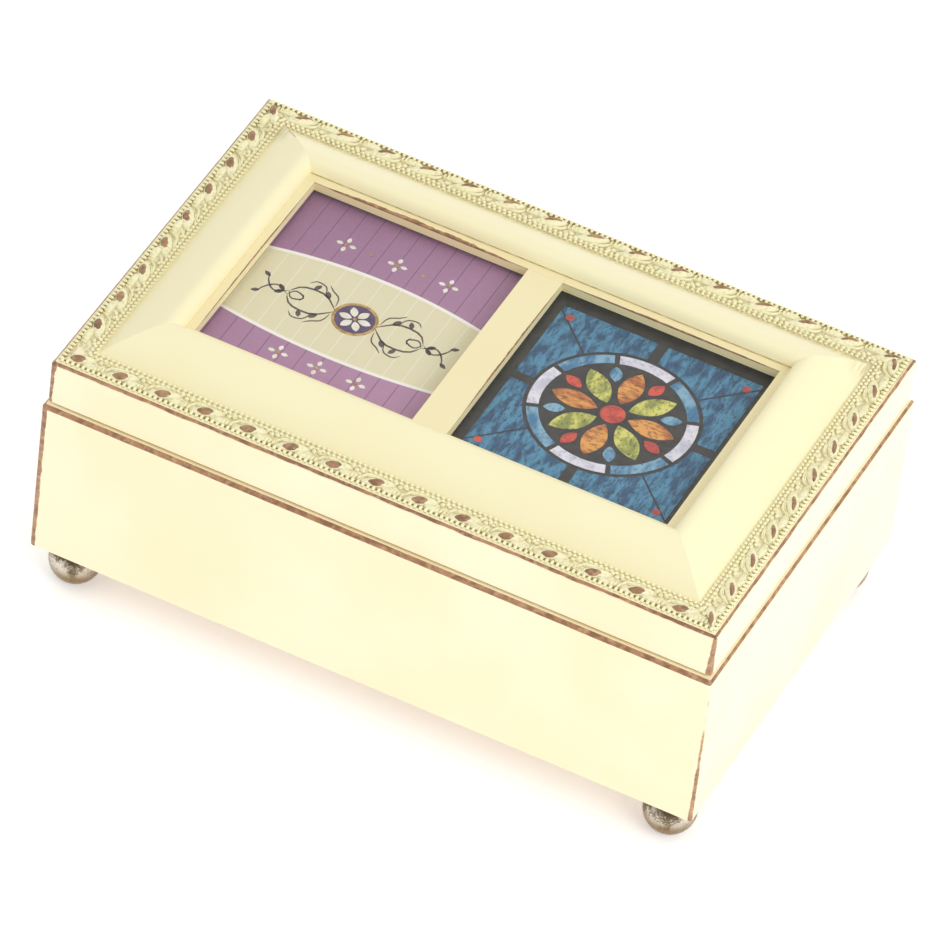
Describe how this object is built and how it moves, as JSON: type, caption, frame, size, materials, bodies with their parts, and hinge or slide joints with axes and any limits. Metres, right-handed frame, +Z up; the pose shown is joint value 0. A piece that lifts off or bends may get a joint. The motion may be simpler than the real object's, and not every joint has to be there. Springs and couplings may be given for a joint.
{
  "type": "music box",
  "caption": "Small mitred wooden music box on ball feet: hinged lid of carved frame moulding around card windows, lined tray, and a key-wound cylinder movement under glass.",
  "frame": {"origin": "middle of the whole box's outline, on the surface it stands on", "axes": "+X to the right along the front, +Y to the back where the hinges are, +Z up"},
  "size_m": [0.1542, 0.1022, 0.0692],
  "materials": {
    "painted_wood": "cream brushed paint, satin, rubbed through to brown on the arrises",
    "painted_moulding": "cream paint over carved ornament, satin, rubbed through to brown on the high spots",
    "fibreboard": "bare smooth fibreboard",
    "clear_glass": "clear, polished",
    "left_card_print": "matt print in mauve and cream stripes",
    "right_card_print": "matt print in the colours of leaded glass",
    "lining": "short flock, matt",
    "felt": "matt felt",
    "satin_nickel": "satin nickel plate",
    "hinge_brass": "lacquered brass, satin",
    "gilt_casting": "gold lacquer on a fine cast surface",
    "plated_steel": "nickel plate, satin",
    "spring_steel": "ground spring steel",
    "movement_brass": "turned brass",
    "key_brass": "polished brass",
    "white_nylon": "moulded nylon"
  },
  "bodies": {
    "case": {"back_wall": "painted_wood", "bedplate": "gilt_casting", "bottom_panel": "fibreboard", "comb": "spring_steel", "cover_cleats": "fibreboard", "foot_back_left": "satin_nickel", "foot_back_right": "satin_nickel", "foot_front_left": "satin_nickel", "foot_front_right": "satin_nickel", "front_wall": "painted_wood", "governor_frame": "plated_steel", "left_bearing": "plated_steel", "left_hinge_case_leaf": "hinge_brass", "left_wall": "painted_wood", "lid_pads": "felt", "movement_cover": "clear_glass", "partition": "fibreboard", "right_hinge_case_leaf": "hinge_brass", "right_wall": "painted_wood", "spring_drum": "plated_steel", "tray_floor_pad": "lining", "tray_linings": "lining"},
    "lid": {"front_rail": "painted_moulding", "back_rail": "painted_moulding", "left_rail": "painted_moulding", "right_rail": "painted_moulding", "window_board": "painted_moulding", "left_pane": "clear_glass", "right_pane": "clear_glass", "left_card": "left_card_print", "right_card": "right_card_print", "backing_board": "fibreboard", "lid_lining": "lining", "left_hinge_lid_leaf": "hinge_brass", "right_hinge_lid_leaf": "hinge_brass"},
    "winding": {"winding_arbor": "plated_steel", "crown_wheel": "movement_brass", "winding_key": "key_brass"},
    "cylinder": {"pinned_cylinder": "movement_brass", "cylinder_arbor": "plated_steel", "cylinder_pinion": "plated_steel", "cylinder_wheel": "movement_brass"},
    "intermediate": {"intermediate_arbor": "white_nylon"},
    "governor": {"worm_shaft": "plated_steel", "governor_fan": "white_nylon"},
    "stop": {"stop_wire": "spring_steel"}
  },
  "joints": [
    {"name": "lid_hinge", "type": "hinge", "parent": "case", "child": "lid", "pos_m": [0, 0.04977, 0.052], "axis": [-1, 0, 0], "range_deg": [0, 100]},
    {"name": "winding_turn", "type": "hinge", "parent": "case", "child": "winding", "pos_m": [-0.0534, 0.00112, 0.0195], "axis": [0, 0, 1], "continuous": true},
    {"name": "cylinder_spin", "type": "hinge", "parent": "case", "child": "cylinder", "pos_m": [-0.0284, 0.00112, 0.0308], "axis": [1, 0, 0], "continuous": true},
    {"name": "intermediate_spin", "type": "hinge", "parent": "case", "child": "intermediate", "pos_m": [-0.0136, 0.00864, 0.03354], "axis": [1, 0, 0], "continuous": true},
    {"name": "governor_spin", "type": "hinge", "parent": "case", "child": "governor", "pos_m": [-0.013, 0.01464, 0.03], "axis": [0, 0, 1], "continuous": true},
    {"name": "stop_wire_slide", "type": "slide", "parent": "case", "child": "stop", "axis": [0, 0, 1], "range_m": [0, 0.003]}
  ],
  "couplings": [
    {"joint": "cylinder_spin", "follows": "winding_turn", "ratio": -4},
    {"joint": "intermediate_spin", "follows": "winding_turn", "ratio": 16},
    {"joint": "governor_spin", "follows": "winding_turn", "ratio": -384},
    {"joint": "stop_wire_slide", "follows": "lid_hinge", "m_per_rad": 0.0017188}
  ]
}
